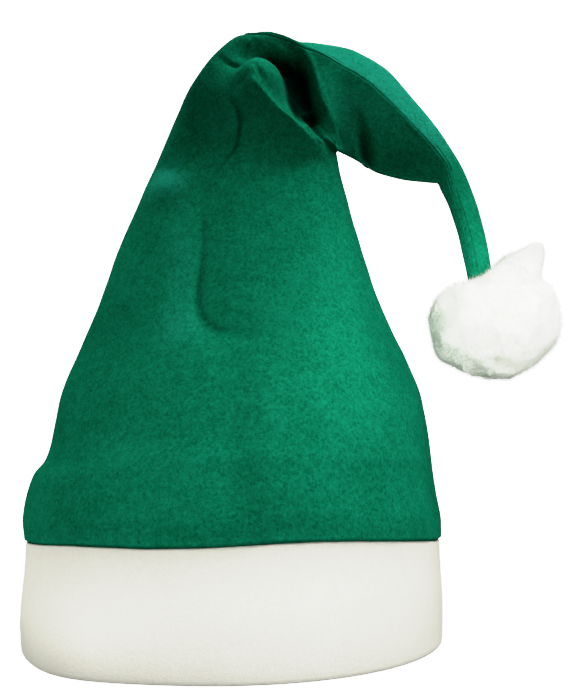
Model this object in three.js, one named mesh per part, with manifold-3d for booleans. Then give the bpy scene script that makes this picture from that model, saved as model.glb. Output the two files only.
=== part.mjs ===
// Felt santa hat standing on its band, in millimetres with +Z up.
// One sheet of green felt, closed by a side seam, makes a cone that folds over at the top
// and hangs to the right as a tail. A folded strip of white felt holds the cone's lower edge
// between its two layers, and a ball of white fluff is sewn round the tip of the tail.
import * as THREE from "three";
import { mergeVertices } from "three/addons/utils/BufferGeometryUtils.js";
import Module from "manifold-3d";

const wasm = await Module();
wasm.setup();

const TURN = Math.PI * 2;
const { lerp, smoothstep } = THREE.MathUtils;

// Driving dimensions
const FELT = 1.6; // thickness of one layer of felt
const GAP = 0.3; // clearance between pieces that are sewn together
const RING = 44; // facets round the band and the crown

// The band is a strip folded along its foot, with its two raw edges at the top.
const BAND = {
  halfWidth: 92.5, // outside, left to right
  halfDepth: 92, // outside, front to back
  swell: 0.4, // how far it stands out a third of the way up
  pinch: 0.9, // how far its top edge is drawn in by the stitching
  lip: 1.1, // rounding of the top edges
  fold: 1.2, // rounding of the folded foot
  footFrom: 0.9, // the flat that it stands on, measured in from the outside
  footTo: 2.3,
  tuck: 12, // depth of the crown's edge between the layers
  tuckRun: 8, // below the tuck the layers come together over this height
};
const BAND_TOP = { left: 42.6, front: 48.3, right: 43.2, back: 44 }; // heights of its top edge
const BAND_SIDE = (BAND_TOP.left + BAND_TOP.right) / 2;

// The seam along the crown: a groove outside, and the two turned-in edges as a fin inside.
const SEAM = {
  halfWidth: 1.6,
  facetShare: 0.6, // it takes at most this much of the facet on either side
  groove: 0.7,
  allowance: 5,
  depthShare: 0.3, // in the narrow tail the fin takes this much of the half depth
};

// Sections of the crown from the roll above the band to the tip of the tail. Each one is an
// oval from its outer end (left, then top) to its inner end (right, then underneath).
// front, back: half depths.  ridge: where the front is fullest, 1 at the outer end, -1 at the inner.
// dip: depth of the folded-in hollow.  seam: degrees from the outer end round the front.
// steps: facets to the next section.
const SECTION_COLUMNS = [
  "outX", "outZ", "inX", "inZ", "midY", "front", "back", "ridge", "dip", "seam", "steps",
];
const SECTIONS = [
  [-92.0, 46.0, 92.2, 46.0, 0.0, 91.2, 91.2, 0.0, 0, 0, 1], // just above the band
  [-93.8, 52.0, 92.7, 52.0, 0.0, 92.0, 92.0, 0.0, 0, 0, 1], // roll over the band
  [-92.0, 63.5, 90.7, 63.5, 0.0, 88.0, 88.0, 0.0, 0, 0, 1],
  [-90.2, 71.5, 89.8, 71.5, 0.0, 84.5, 84.5, 0.0, 0, 0, 1], // shoulder on the left
  [-85.7, 78.0, 89.3, 78.0, 0.0, 82.0, 82.0, 0.0, 0, 0, 1],
  [-83.4, 85.0, 88.7, 85.0, 0.0, 79.0, 79.0, 0.0, 0, 0, 2],
  [-81.0, 105.5, 85.6, 105.5, 0.0, 70.5, 70.5, 0.0, 0, 0, 2], // hip on the right
  [-74.0, 125.5, 77.7, 125.5, 0.0, 61.5, 61.5, 0.0, 0, 0, 2],
  [-65.5, 147.5, 68.0, 147.5, 0.0, 51.5, 51.5, 0.0, 0, 0, 2],
  [-56.0, 176.0, 58.4, 176.0, 0.0, 38.5, 38.5, 0.0, 0, 0, 2],
  [-44.7, 205.0, 50.6, 205.0, 0.0, 26.0, 27.0, 0.1, 0, 0, 2],
  [-35.6, 224.0, 47.5, 222.0, -3.0, 24.5, 20.0, 0.25, 0, 0, 1], // the bend starts
  [-25.1, 246.2, 47.2, 222.2, -7.5, 24.0, 18.0, 0.45, 0, 0, 1],
  [-14.7, 265.2, 47.3, 222.4, -9.0, 22.0, 17.0, 0.45, 0, 0, 1],
  [-2.6, 275.0, 47.6, 222.4, -9.0, 19.0, 16.0, 0.3, 0, 2, 1],
  [3.9, 277.6, 48.1, 222.4, -8.0, 17.5, 15.5, 0.1, 2, 6, 2], // crest of the fold
  [11.4, 279.6, 48.5, 222.4, -7.0, 16.5, 15.0, 0.0, 13, 15, 1], // floor of the hollow
  [20.1, 279.3, 49.2, 222.3, -6.0, 15.5, 14.5, 0.05, 14, 25, 1],
  [31.9, 276.3, 50.6, 222.2, -4.5, 14.5, 14.0, 0.15, 9, 39, 2],
  [51.0, 272.5, 54.5, 220.9, -3.0, 13.5, 12.5, 0.35, 2, 53, 2], // root of the tail
  [70.0, 263.6, 66.2, 214.7, -3.2, 12.5, 11.0, 0.4, 0, 68, 1],
  [84.7, 247.5, 78.8, 209.6, -4.0, 10.5, 9.5, 0.3, 0, 76, 1],
  [95.5, 232.6, 90.4, 207.5, -4.8, 8.6, 8.2, 0.15, 0, 85, 1],
  [101.2, 222.5, 93.9, 206.6, -6.0, 7.2, 7.2, 0.0, 0, 88, 1], // elbow of the tail
  [106.4, 210.1, 95.1, 203.0, -7.2, 6.4, 6.4, 0.0, 0, 90, 1],
  [111.7, 195.5, 98.0, 195.5, -8.4, 6.2, 6.2, 0.0, 0, 90, 1],
  [115.1, 181.1, 102.2, 180.6, -9.6, 6.0, 6.0, 0.0, 0, 90, 1],
  [117.1, 168.2, 104.9, 165.9, -10.8, 5.8, 5.8, 0.0, 0, 90, 1], // goes into the pompom
  [119.0, 155.1, 106.7, 154.1, -12.0, 5.6, 5.6, 0.0, 0, 90, 1],
  [117.4, 150.6, 109.0, 150.0, -12.4, 3.6, 3.6, 0.0, 0, 90, 0], // tip
];
const LIFT_ENDS = 105; // above this height the sections are level again
const FOLD = { knuckle: 0.62, blend: 0.15, backShare: 0.45 }; // the hollow ends at the knuckle

// A crease pressed into the front: down its left edge, round a corner and along its lower edge.
const CREASE = {
  left: -20,
  low: 138,
  width: 48,
  height: 68,
  corner: 12, // rounding between the two edges
  depth: 2.2,
  outerSlope: 13, // the felt slopes gently into it from the left and below
  innerSlope: 6,
  fadeFrom: 0.5, // share of its size from which it fades out to the right and the top
};

// The pompom: a head of fluff with locks fused round it and one long tuft standing up.
const POMPOM = {
  centre: new THREE.Vector3(117, -12, 140.6),
  head: new THREE.Vector3(26.5, 25.5, 22.5),
  reach: new THREE.Vector3(30.8, 29.5, 26.8), // outside of the locks
  locks: 30,
  lockWidth: 9.2,
  lockLength: 10,
  uneven: 0.14, // spread of the locks' sizes
  flattened: 0.14, // how much shorter the fluff is where the tail goes in
};
const TUFT = { tip: new THREE.Vector3(137.8, -12, 177), width: 8.5, length: 15 };

const GREEN_FELT = new THREE.MeshStandardMaterial({ color: 0x0c7a54, roughness: 0.95, metalness: 0 });
const WHITE_FELT = new THREE.MeshStandardMaterial({ color: 0xebe9e1, roughness: 0.95, metalness: 0 });
const WHITE_FLUFF = new THREE.MeshStandardMaterial({ color: 0xf4f5f0, roughness: 1, metalness: 0 });

// Height of the band's top edge at a turn round the rim: 0 left, a quarter front, a half right.
function bandTop(turn) {
  const side = Math.cos(turn);
  const facing = Math.sin(turn);
  const across = side > 0 ? BAND_TOP.left : BAND_TOP.right;
  const along = facing > 0 ? BAND_TOP.front : BAND_TOP.back;
  return across * side ** 2 + along * facing ** 2;
}

// The crown's sections by column name, with the two rows that lie between the band's layers first.
const crownRows = SECTIONS.map((row) =>
  Object.fromEntries(SECTION_COLUMNS.map((column, i) => [column, row[i]])),
);
const TUCKED_IN = BAND.pinch + FELT + GAP;
for (const height of [BAND_SIDE, BAND_SIDE - BAND.tuck + GAP]) {
  const halfWidth = BAND.halfWidth - TUCKED_IN;
  const halfDepth = BAND.halfDepth - TUCKED_IN;
  crownRows.unshift({
    ...crownRows[0],
    outX: -halfWidth,
    outZ: height,
    inX: halfWidth,
    inZ: height,
    front: halfDepth,
    back: halfDepth,
  });
}
const FIRST_FREE_ROW = 2; // the rows before it are tucked into the band
const POMPOM_ROW = crownRows.length - 3; // here the tail goes into the pompom

// One column's value between sections: a cubic through the rows that never overshoots them.
function columnAt(column, place) {
  const last = crownRows.length - 1;
  const before = Math.min(Math.floor(place), last - 1);
  const t = place - before;
  const value = (row) => crownRows[THREE.MathUtils.clamp(row, 0, last)][column];
  const slope = (row) => {
    const rise = value(row) - value(row - 1);
    const next = value(row + 1) - value(row);
    return rise * next > 0 ? (2 * rise * next) / (rise + next) : 0;
  };
  const change = value(before + 1) - value(before);
  const bend = slope(before) + slope(before + 1) - 2 * change;
  return value(before) + t * slope(before) + t * t * (change - slope(before)) - t * t * (1 - t) * bend;
}

// How far the crease sinks the front of the crown at a point of the front view.
function creaseDepth(x, z) {
  const right = x - CREASE.left;
  const up = z - CREASE.low;
  const round = Math.hypot(Math.max(0, CREASE.corner - right), Math.max(0, CREASE.corner - up));
  const inward = CREASE.corner - round;
  const slope = inward > 0 ? CREASE.innerSlope : CREASE.outerSlope;
  const away = Math.hypot(Math.max(0, right) / CREASE.width, Math.max(0, up) / CREASE.height);
  const fade = 1 - smoothstep(away, CREASE.fadeFrom, 1);
  return CREASE.depth * fade * (1 - smoothstep(Math.abs(inward), 0, slope));
}

// A point on the outside of the crown. place counts sections, and turn goes round one from
// its outer end through the front.
function crownPoint(place, turn) {
  const at = (column) => columnAt(column, place);
  const along = Math.cos(turn);
  const facing = Math.sin(turn);
  const isFront = facing > 0;
  const x = lerp(at("inX"), at("outX"), (1 + along) / 2);
  const z = lerp(at("inZ"), at("outZ"), (1 + along) / 2);
  const ridge = isFront ? at("ridge") : 0;
  const fromRidge = along > ridge ? (along - ridge) / (1 - ridge) : (ridge - along) / (1 + ridge);
  const swell = Math.sqrt(Math.max(0, 1 - fromRidge ** 2));
  const open = 1 - smoothstep(along, FOLD.knuckle - FOLD.blend, FOLD.knuckle + FOLD.blend);
  const dip = at("dip") * open * (isFront ? 1 : FOLD.backShare);
  const depth = swell * (at(isFront ? "front" : "back") - dip);
  const sunk = isFront ? creaseDepth(x, z) : 0;
  const lift = (bandTop(turn) - BAND_SIDE) * (1 - smoothstep(z, BAND_SIDE, LIFT_ENDS));
  return new THREE.Vector3(x, at("midY") - Math.sign(facing) * depth + sunk * swell, z + lift);
}

// The direction straight out of the crown's surface at a point.
function crownNormal(place, turn) {
  const step = 0.02;
  const last = crownRows.length - 1;
  const low = crownPoint(Math.max(0, place - step), turn);
  const upward = crownPoint(Math.min(last, place + step), turn).sub(low);
  const round = crownPoint(place, turn + step).sub(crownPoint(place, turn - step));
  return round.cross(upward).normalize();
}

// The turns of one ring of the crown, starting at its seam and closely spaced beside it.
function ringTurns(place) {
  const seam = THREE.MathUtils.degToRad(columnAt("seam", place));
  const facet = TURN / RING;
  const speed = crownPoint(place, seam + facet).distanceTo(crownPoint(place, seam)) / facet;
  const beside = Math.min(SEAM.halfWidth / speed, SEAM.facetShare * facet);
  const spread = Array.from({ length: RING - 1 }, (_, i) => (i + 1) * facet);
  return [0, beside, ...spread, TURN - beside].map((turn) => seam + turn);
}

// The felt's outside or inside along one ring, with the seam's groove and its turned-in edges.
function crownRing(place, isInside) {
  const isFree = place >= FIRST_FREE_ROW;
  const room = Math.min(columnAt("front", place), columnAt("back", place));
  const fin = Math.min(SEAM.allowance, SEAM.depthShare * room);
  return ringTurns(place).map((turn, i) => {
    const seamSink = isInside ? fin : SEAM.groove;
    const sink = (isInside ? FELT : 0) + (i === 0 && isFree ? seamSink : 0);
    return crownPoint(place, turn).addScaledVector(crownNormal(place, turn), -sink);
  });
}

// Joins rings of points into one closed geometry. Each ring has the same number of points,
// and the ends are either joined to each other or closed by a cap.
function loft(rings, endsMeet) {
  const count = rings[0].length;
  const points = rings.flat();
  const index = [];
  const bands = endsMeet ? rings.length : rings.length - 1;
  for (let r = 0; r < bands; r++) {
    const here = r * count;
    const next = ((r + 1) % rings.length) * count;
    for (let i = 0; i < count; i++) {
      const j = (i + 1) % count;
      index.push(here + i, here + j, next + i, here + j, next + j, next + i);
    }
  }
  const cap = (ring, start, isFirst) => {
    const centre = ring.reduce((sum, p) => sum.add(p), new THREE.Vector3()).divideScalar(count);
    points.push(centre);
    for (let i = 0; i < count; i++) {
      const edge = [start + i, start + ((i + 1) % count)];
      index.push(...(isFirst ? edge.reverse() : edge), points.length - 1);
    }
  };
  if (!endsMeet) {
    cap(rings[0], 0, true);
    cap(rings.at(-1), (rings.length - 1) * count, false);
  }
  return new THREE.BufferGeometry().setFromPoints(points).setIndex(index);
}

// The crown's wall: up the inside from below its tip, then up the outside to the tip.
function crownGeometry() {
  const places = crownRows.flatMap((row, i) =>
    Array.from({ length: row.steps }, (_, k) => i + k / row.steps),
  );
  const inside = places.slice(0, -1).map((place) => crownRing(place, true));
  const outside = [...places, crownRows.length - 1].map((place) => crownRing(place, false));
  return loft([...inside.reverse(), ...outside], false);
}

// The band's section at a turn: distances in from the outside of the rim, and heights.
function bandSection(turn) {
  const top = bandTop(turn);
  const slot = BAND.pinch + FELT;
  const slotEnd = slot + FELT + 2 * GAP;
  const inside = slotEnd + FELT;
  const pressed = 2 * FELT;
  const tuckEnd = top - BAND.tuck;
  return [
    [pressed, BAND.fold],
    [pressed, tuckEnd - BAND.tuckRun],
    [inside, tuckEnd],
    [inside, top - BAND.lip],
    [inside - BAND.lip, top],
    [slotEnd, top],
    [slotEnd, tuckEnd],
    [slot, tuckEnd],
    [slot, top],
    [slot + BAND.lip - FELT, top],
    [BAND.pinch, top - BAND.lip],
    [-BAND.swell, top / 3],
    [0, BAND.fold],
    [BAND.footFrom, 0],
    [BAND.footTo, 0],
  ];
}

function bandGeometry() {
  const rings = Array.from({ length: RING }, (_, i) => {
    const turn = (i / RING) * TURN;
    return bandSection(turn).map(
      ([inward, z]) =>
        new THREE.Vector3(
          -(BAND.halfWidth - inward) * Math.cos(turn),
          -(BAND.halfDepth - inward) * Math.sin(turn),
          z,
        ),
    );
  });
  return loft(rings, true);
}

// A closed geometry as a solid that can be joined and cut, and a solid as a geometry.
function solidOf(geometry) {
  const bare = new THREE.BufferGeometry();
  bare.setAttribute("position", geometry.getAttribute("position"));
  bare.setIndex(geometry.getIndex());
  const merged = mergeVertices(bare);
  return new wasm.Manifold(
    new wasm.Mesh({
      numProp: 3,
      vertProperties: merged.getAttribute("position").array,
      triVerts: new Uint32Array(merged.getIndex().array),
    }),
  );
}

function geometryOf(solid) {
  const { vertProperties, triVerts } = solid.getMesh();
  return new THREE.BufferGeometry()
    .setAttribute("position", new THREE.BufferAttribute(vertProperties, 3))
    .setIndex(new THREE.BufferAttribute(triVerts, 1));
}

// One lock of fluff: a long rounded lobe that ends at its tip and points away from the centre.
function lock(tip, width, length) {
  const outward = tip.clone().sub(POMPOM.centre).normalize();
  const upright = new THREE.Vector3(0, 0, 1);
  const placed = new THREE.Matrix4().compose(
    tip.clone().addScaledVector(outward, -length),
    new THREE.Quaternion().setFromUnitVectors(upright, outward),
    new THREE.Vector3(width, width, length),
  );
  return solidOf(new THREE.IcosahedronGeometry(1, 1).applyMatrix4(placed));
}

// The room that the tail's end needs in the pompom: its outside, grown by the gap.
function tailSocket() {
  const last = crownRows.length - 1;
  const rings = [];
  for (let place = POMPOM_ROW - 2; place <= last; place++) {
    const grown = (turn) =>
      crownPoint(place, turn).addScaledVector(crownNormal(place, turn), GAP);
    rings.push(ringTurns(place).map(grown));
  }
  const ahead = crownPoint(last, 0).sub(crownPoint(last - 1, 0)).normalize();
  rings.push(rings.at(-1).map((point) => point.clone().addScaledVector(ahead, GAP)));
  return solidOf(loft(rings, false));
}

function pompomGeometry() {
  const head = new THREE.IcosahedronGeometry(1, 2).scale(...POMPOM.head.toArray());
  let fluff = solidOf(head.translate(...POMPOM.centre.toArray()));
  const toTail = crownPoint(POMPOM_ROW, Math.PI).sub(POMPOM.centre).normalize();
  const goldenTurn = Math.PI * (3 - Math.sqrt(5));
  for (let i = 0; i < POMPOM.locks; i++) {
    const height = 1 - (2 * i + 1) / POMPOM.locks;
    const flat = Math.sqrt(1 - height ** 2);
    const turn = i * goldenTurn;
    const outward = new THREE.Vector3(flat * Math.cos(turn), flat * Math.sin(turn), height);
    const size = 1 + POMPOM.uneven * Math.sin(7 * turn + 3 * height);
    const flattened = POMPOM.flattened * Math.max(0, outward.dot(toTail)) ** 4;
    const tip = outward.multiply(POMPOM.reach).multiplyScalar(1 - flattened).add(POMPOM.centre);
    fluff = fluff.add(lock(tip, POMPOM.lockWidth * size, POMPOM.lockLength * size));
  }
  fluff = fluff.add(lock(TUFT.tip, TUFT.width, TUFT.length));
  return geometryOf(fluff.subtract(tailSocket()));
}

function piece(name, geometry, material) {
  const mesh = new THREE.Mesh(geometry, material);
  mesh.name = name;
  return mesh;
}

const hat = new THREE.Group();
hat.add(
  piece("crown", crownGeometry(), GREEN_FELT),
  piece("band", bandGeometry(), WHITE_FELT),
  piece("pompom", pompomGeometry(), WHITE_FLUFF),
);

// The part's origin is under the middle of the whole hat, on the surface that it stands on.
const bounds = new THREE.Box3().setFromObject(hat);
const middle = bounds.getCenter(new THREE.Vector3());
hat.position.set(-middle.x, -middle.y, -bounds.min.z);

export default hat;
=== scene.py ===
"""Dresses the felt santa hat: its crown and band as sewn felt, and its pompom as loose fluff.

Sizes are in millimetres in the hat's own frame: its origin is the middle of the rim on the floor,
X goes to the right, Y away from the viewer and Z up. Only finished meshes are in metres.
"""

from __future__ import annotations

import logging
import math
from dataclasses import astuple, dataclass, fields
from enum import Enum

import bpy
import numpy as np
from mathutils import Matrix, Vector, noise

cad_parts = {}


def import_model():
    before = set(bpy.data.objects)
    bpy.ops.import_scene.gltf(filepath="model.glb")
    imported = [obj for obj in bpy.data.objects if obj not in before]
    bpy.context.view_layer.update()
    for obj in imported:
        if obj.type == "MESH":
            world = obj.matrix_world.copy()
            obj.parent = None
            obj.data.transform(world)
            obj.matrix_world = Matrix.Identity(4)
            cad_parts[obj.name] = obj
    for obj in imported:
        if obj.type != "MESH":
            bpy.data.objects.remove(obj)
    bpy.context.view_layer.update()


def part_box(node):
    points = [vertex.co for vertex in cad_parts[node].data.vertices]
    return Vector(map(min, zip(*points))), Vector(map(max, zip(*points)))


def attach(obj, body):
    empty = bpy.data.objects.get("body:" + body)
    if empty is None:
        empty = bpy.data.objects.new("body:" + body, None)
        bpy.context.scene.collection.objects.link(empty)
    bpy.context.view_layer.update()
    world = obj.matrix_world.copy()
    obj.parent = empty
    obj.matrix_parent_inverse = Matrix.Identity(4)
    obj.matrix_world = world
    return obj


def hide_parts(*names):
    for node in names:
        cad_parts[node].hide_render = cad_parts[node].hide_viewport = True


LOG = logging.getLogger("santa_hat")
MM = 0.001
FULL_TURN = 2 * math.pi
PAINTED_LIGHT_ATTRIBUTE = "hollow_depth"  # the attribute that holds painted shade from 0 to 1, and painted highlight below 0
LINE_STEPS = 8  # points of a crease's line for each of its spans
TROUGH_BOTTOM = 0.4  # share of a trough's slope that is flat
WELD = 0.01  # vertices that are closer than this become one

Colour = tuple[float, float, float, float]
Pair = tuple[float, float]
Triple = tuple[float, float, float]


class Slot(Enum):
    """The record's material slots."""

    GREEN_FELT = "green_felt"
    WHITE_FELT = "white_felt"
    WHITE_FLUFF = "white_fluff"


def smoothstep(value: np.ndarray | float, low: float, high: float) -> np.ndarray:
    """Rises smoothly from 0 to 1.

    Args:
        value: Where to read it.
        low: Where it is still 0.
        high: Where it reaches 1.

    Returns:
        The step at each value.
    """
    t = np.clip((np.asarray(value) - low) / (high - low), 0, 1)
    return t * t * (3 - 2 * t)


def through_rows(rows: np.ndarray, place: np.ndarray) -> np.ndarray:
    """Runs a smooth curve through the rows of a table that never overshoots them.

    Args:
        rows: The table, one row for each whole place.
        place: Places between the rows, of any shape.

    Returns:
        The columns at each place, in a last axis of their own.
    """
    step = np.diff(rows, axis=0)
    joined = step[:-1] * step[1:]
    total = np.where(joined > 0, step[:-1] + step[1:], 1)
    slope = np.zeros_like(rows)
    slope[1:-1] = np.where(joined > 0, 2 * joined / total, 0)
    row = np.clip(np.floor(place).astype(int), 0, len(rows) - 2)
    t = np.clip(place - row, 0, 1)[..., None]
    bend = slope[row] + slope[row + 1] - 2 * step[row]
    start = rows[row] + t * slope[row]
    return start + t**2 * (step[row] - slope[row]) - t**2 * (1 - t) * bend


def line_through(points: np.ndarray, per_span: int) -> np.ndarray:
    """Draws a rounded line through a few points.

    Args:
        points: The points, with any columns.
        per_span: Points of the line for each span.

    Returns:
        The line's points, with the same columns.
    """
    ends = np.vstack([2 * points[0] - points[1], points, 2 * points[-1] - points[-2]])
    spans = []
    t = np.linspace(0, 1, per_span, endpoint=False)[:, None]
    for a, b, c, d in zip(ends, ends[1:], ends[2:], ends[3:]):
        leave, arrive = (c - a) / 2, (d - b) / 2
        spans.append(
            b + t * leave + t**2 * (3 * (c - b) - 2 * leave - arrive)
            + t**3 * (2 * (b - c) + leave + arrive)
        )
    return np.vstack([*spans, points[-1:]])


def cloudy(points: np.ndarray, size: float, offset: float) -> np.ndarray:
    """Reads soft random unevenness at points.

    Args:
        points: The points, in millimetres.
        size: The size of its swells, in millimetres.
        offset: Moves to another part of the pattern.

    Returns:
        A value from about -1 to 1 at each point.
    """
    flat = points.reshape(-1, 3) / size + offset
    return np.array([noise.noise(Vector(p)) for p in flat]).reshape(points.shape[:-1])


def uneven(points: np.ndarray, waves: tuple[Triple, ...]) -> np.ndarray:
    """Adds up layers of soft random unevenness.

    Args:
        points: The points, in millimetres.
        waves: The height, the size and the place in the pattern of each layer.

    Returns:
        The lift at each point.
    """
    return sum(height * cloudy(points, size, offset) for height, size, offset in waves)


def make_active(piece: bpy.types.Object) -> None:
    """Selects one piece alone, so that operators act on it.

    Args:
        piece: The piece.
    """
    if bpy.context.object and bpy.context.object.mode != "OBJECT":
        bpy.ops.object.mode_set(mode="OBJECT")
    bpy.ops.object.select_all(action="DESELECT")
    piece.select_set(True)
    bpy.context.view_layer.objects.active = piece


@dataclass(frozen=True)
class Rim:
    """The closed line that the hat stands on, and the top edge of the band above it."""

    half_width: float = 92.5
    half_depth: float = 92.0
    left: float = 43.2
    front: float = 48.8
    right: float = 43.6
    back: float = 44.5
    waves: tuple[Pair, ...] = (
        (0, 0.0), (50, 0.2), (73, -1.0), (85, -0.7), (94, 0.0), (102, 0.8), (112, 1.6),
        (125, 1.8), (142, 1.4), (160, 0.4), (180, 0.0),
    )  # how far the stitching of the front wanders, by the turn in degrees

    @property
    def side(self) -> float:
        """Height of the band's top edge at the sides."""
        return (self.left + self.right) / 2

    def top(self, turn: np.ndarray) -> np.ndarray:
        """Height of the band's top edge.

        Args:
            turn: Angles round the rim, from the left through the front.

        Returns:
            The height at each angle.
        """
        across = np.where(np.cos(turn) > 0, self.left, self.right)
        along = np.where(np.sin(turn) > 0, self.front, self.back)
        plain = across * np.cos(turn) ** 2 + along * np.sin(turn) ** 2
        turns, heights = zip(*self.waves)
        return plain + np.interp(np.degrees(turn) % 360, turns, heights)

    def point(self, turn: np.ndarray, inward: np.ndarray, height: np.ndarray) -> np.ndarray:
        """Points near the rim.

        Args:
            turn: Angles round the rim, from the left through the front.
            inward: Distances in from the outside of the rim.
            height: Heights over the floor.

        Returns:
            The points, in a last axis of their own.
        """
        x = -(self.half_width - inward) * np.cos(turn)
        y = -(self.half_depth - inward) * np.sin(turn)
        return np.stack(np.broadcast_arrays(x, y, height), axis=-1)


@dataclass(frozen=True)
class Section:
    """One oval section of the crown, from its outer end (left, then top) to its inner end."""

    out_x: float
    out_z: float
    in_x: float
    in_z: float
    mid_y: float
    front: float  # half depth towards the viewer
    back: float
    ridge: float  # where the front is fullest: 1 at the outer end, -1 at the inner end
    flat: float  # 0 for a round front, 1 for two flat panels that meet at the ridge
    seam: float  # degrees from the outer end round the front
    rows: int  # rows of vertices to the next section


class Profile(Enum):
    """How felt comes up again beside the bottom of a crease, or down beside the top of a ridge."""

    ROUND = "round"
    KEEN = "keen"
    TROUGH = "trough"

    def share(self, far: np.ndarray) -> np.ndarray:
        """How much of the depth is left.

        Args:
            far: Distance from the line as a share of the slope's width.

        Returns:
            1 on the line and 0 at the end of the slope.
        """
        if self is Profile.KEEN:
            return np.clip(1 - far, 0, 1) ** 2
        bottom = TROUGH_BOTTOM if self is Profile.TROUGH else 0.0
        return 1 - smoothstep(far, bottom, 1)


@dataclass(frozen=True)
class Crease:
    """A line pressed into the front, or a ridge where its depth is negative.

    Attributes:
        line: Its (x, z, depth) points in order, in the front view.
        left: How far the felt slopes into it on the left of that order.
        right: The same on the right.
        profile: The form of those slopes.
        shade: How much painted shade darkens its bottom.
        shade_width: How far that painted shade reaches.
    """

    line: tuple[Triple, ...]
    left: float
    right: float
    profile: Profile = Profile.ROUND
    shade: float = 0.0
    shade_width: float = 1.2

    def depth(self, x: np.ndarray, z: np.ndarray) -> tuple[np.ndarray, np.ndarray]:
        """How far it sinks the felt, and how much shade is painted along it.

        Args:
            x: Places across the front view.
            z: Heights.

        Returns:
            The depth at each place, and the painted shade from 0 to 1.
        """
        line = line_through(np.array(self.line), LINE_STEPS)
        ahead = np.gradient(line[:, :2], axis=0)
        away_x = x[..., None] - line[:, 0]
        away_z = z[..., None] - line[:, 1]
        distance = np.hypot(away_x, away_z)
        nearest = distance.argmin(axis=-1)
        pick = nearest[..., None]
        side = ahead[:, 0] * away_z - ahead[:, 1] * away_x
        is_left = np.take_along_axis(side, pick, -1)[..., 0] > 0
        far = np.take_along_axis(distance, pick, -1)[..., 0]
        slope = np.where(is_left, self.left, self.right)
        sunk = line[nearest, 2]
        # Painted shade along the bottom of the crease, strongest where it is deepest.
        near = np.exp(-((far / self.shade_width) ** 2))
        shade = self.shade * near * np.clip(sunk / np.abs(line[:, 2]).max(), 0, 1)
        return sunk * self.profile.share(far / slope), shade


@dataclass(frozen=True)
class Swell:
    """A soft round patch of the front view: a bump in the felt, a patch of painted shade, or one of
    painted highlight.
    """

    x: float
    z: float
    height: float
    width: float
    tall: float

    def rise(self, x: np.ndarray, z: np.ndarray) -> np.ndarray:
        """How strong it is at each place: its height in the middle, falling to 0 round it."""
        away = ((x - self.x) / self.width) ** 2 + ((z - self.z) / self.tall) ** 2
        return self.height * np.exp(-away)


class HatFrame:
    """Turns the hat's own millimetres into the part's frame, in metres."""

    def __init__(self) -> None:
        """Finds the middle of the rim from the band's box."""
        low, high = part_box("band")
        middle = (low + high) / 2
        self.origin = np.array([middle.x, middle.y, 0.0])

    def place(self, points: np.ndarray) -> np.ndarray:
        """Gives points of the hat, which are in millimetres, in the part's frame and in metres."""
        return np.asarray(points) * MM + self.origin


def felt_sheet(name: str, points: np.ndarray) -> bpy.types.Object:
    """Lays a flat sheet as a grid and moves each vertex to its place.

    Args:
        name: The piece's name.
        points: A grid of points in metres, rows first, as the grid's vertices are.

    Returns:
        The sheet, one layer of faces with its outside out.
    """
    rows, columns, _ = points.shape
    bpy.ops.object.select_all(action="DESELECT")
    bpy.ops.mesh.primitive_grid_add(x_subdivisions=columns - 1, y_subdivisions=rows - 1, size=1)
    piece = bpy.context.object
    piece.name = name
    piece.data.vertices.foreach_set("co", points.astype(np.float32).ravel())
    piece.data.update()
    return piece


def mark_painted_light(piece: bpy.types.Object, depth: np.ndarray) -> None:
    """Stores each vertex's painted shade, on the crown and on the pompom's tuft, and its painted
    highlight.

    Args:
        piece: The piece.
        depth: Painted shade from 0, where none is painted, to 1, and painted highlight below 0, in the
            order of its vertices.
    """
    layer = piece.data.attributes.new(PAINTED_LIGHT_ATTRIBUTE, "FLOAT", "POINT")
    layer.data.foreach_set("value", depth.astype(np.float32).ravel())


def thicken(piece: bpy.types.Object, thickness: float) -> None:
    """Gives a sheet its thickness, inwards from its outside, and rounds its shading.

    Args:
        piece: The sheet.
        thickness: The felt's thickness, in millimetres.
    """
    make_active(piece)
    wall = piece.modifiers.new("wall", "SOLIDIFY")
    wall.thickness = thickness * MM
    wall.offset = -1
    bpy.ops.object.modifier_apply(modifier=wall.name)
    bpy.ops.object.shade_smooth()


@dataclass(frozen=True)
class Speckle:
    """One layer of random spots on a surface."""

    size: float  # in millimetres
    detail: float = 2.0  # how many finer layers are added
    twist: float = 0.0  # how far the spots are pulled into strands
    weight: float = 1.0


class Value:
    """A number that changes over a surface, as the node socket that gives it."""

    def __init__(self, nodes: Nodes, socket: bpy.types.NodeSocket) -> None:
        """Keeps the socket and the nodes that it belongs to."""
        self.nodes = nodes
        self.socket = socket

    def _math(self, operation: str, first: Value | float, second: Value | float) -> Value:
        """Adds a Math node with two values, and gives its result."""
        return self.nodes.add("ShaderNodeMath", {"operation": operation}, {0: first, 1: second})[0]

    def __add__(self, other: Value | float) -> Value:
        """Adds."""
        return self._math("ADD", self, other)

    __radd__ = __add__

    def __sub__(self, other: Value | float) -> Value:
        """Takes away."""
        return self._math("SUBTRACT", self, other)

    def __rsub__(self, other: float) -> Value:
        """Takes this away from a number."""
        return self._math("SUBTRACT", other, self)

    def __mul__(self, other: Value | float) -> Value:
        """Multiplies."""
        return self._math("MULTIPLY", self, other)

    __rmul__ = __mul__


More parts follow.
